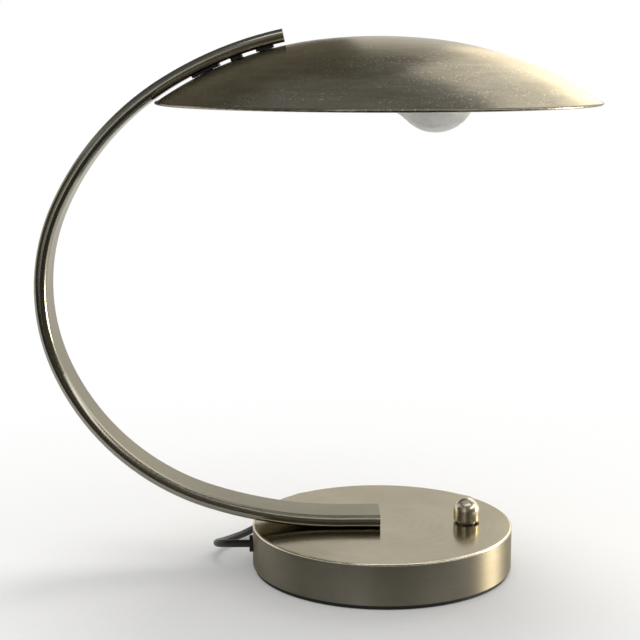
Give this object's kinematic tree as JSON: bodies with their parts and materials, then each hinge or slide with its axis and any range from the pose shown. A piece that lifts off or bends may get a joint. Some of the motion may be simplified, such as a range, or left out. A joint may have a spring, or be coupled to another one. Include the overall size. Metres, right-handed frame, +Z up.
{
  "type": "arc table lamp",
  "caption": "Table lamp with a round drum base, a flat oval arm bent to an open C, a shallow dome shade that slides along the arm, and a dimmer knob.",
  "frame": {"origin": "centre of the resting face under the base", "axes": "+Z up, +X from the arm's bend towards the knob, +Y to the rear of the pictured view"},
  "size_m": [0.42, 0.3358, 0.4097],
  "materials": {
    "satin_metal": "satin nickel, lightly brushed",
    "shade_metal": "satin nickel with patina, white inside",
    "polished_metal": "polished nickel",
    "block_plastic": "black",
    "pad_rubber": "black",
    "iron": "raw casting",
    "zinc_steel": "zinc plated",
    "bush_plastic": "natural nylon",
    "liner_felt": "felt",
    "holder_plastic": "black moulded",
    "holder_ceramic": "white glazed",
    "brass_parts": "plain brass",
    "bulb_frost": "frosted",
    "cap_metal": "plain",
    "cap_insulator": "black glass",
    "cord_rubber": "black sheath",
    "tie_rubber": "black band",
    "plug_plastic": "black moulded",
    "pin_metal": "nickel plated"
  },
  "bodies": {
    "base": {"base_cover": "satin_metal", "arm_tube": "satin_metal", "arm_foot_plug": "satin_metal", "arm_top_plug": "satin_metal", "rear_guide_block": "block_plastic", "centre_guide_block": "block_plastic", "front_guide_block": "block_plastic", "foot_pad": "pad_rubber", "cord_grommet": "pad_rubber", "base_weight": "iron", "base_plate": "zinc_steel", "base_posts": "zinc_steel", "base_plate_screws": "zinc_steel", "arm_anchor_bar": "zinc_steel", "arm_foot_screws": "zinc_steel", "arm_foot_washers": "zinc_steel", "arm_nut_bar": "zinc_steel", "clamp_studs": "zinc_steel", "clamp_plate": "zinc_steel", "spring_washers": "zinc_steel", "clamp_nuts": "zinc_steel", "lampholder_bracket": "zinc_steel", "lampholder_nut": "zinc_steel", "cord_anchor_screws": "zinc_steel", "dimmer_washer": "zinc_steel", "dimmer_nut": "zinc_steel", "dimmer_bushing": "zinc_steel", "slot_bushes": "bush_plastic", "cord_anchor": "bush_plastic", "terminal_block": "bush_plastic", "friction_liner": "liner_felt", "lampholder_shell": "holder_plastic", "dimmer_housing": "holder_plastic", "lampholder_core": "holder_ceramic", "lampholder_sleeve": "brass_parts", "lampholder_contact": "brass_parts", "lampholder_nipple": "brass_parts", "bulb_contact": "brass_parts", "bulb_glass": "bulb_frost", "bulb_cap": "cap_metal", "bulb_insulator": "cap_insulator", "cord_inner": "cord_rubber", "cord_lead": "cord_rubber", "cord_hank": "cord_rubber", "cord_tail": "cord_rubber", "cord_tie": "tie_rubber", "plug_body": "plug_plastic", "plug_pins": "pin_metal"},
    "shade": {"shade_shell": "shade_metal", "shade_rail": "satin_metal"},
    "knob": {"knob": "polished_metal", "dimmer_shaft": "zinc_steel", "knob_grub_screw": "zinc_steel"}
  },
  "joints": [
    {"name": "shade_slide", "type": "hinge", "parent": "base", "child": "shade", "pos_m": [-0.01697, 0, 0.13639], "axis": [0, 1, 0], "range_deg": [-1.5, 5]},
    {"name": "knob_turn", "type": "hinge", "parent": "base", "child": "knob", "pos_m": [0.0657, 0, 0.0363], "axis": [0, 0, 1], "range_deg": [0, 300]}
  ]
}
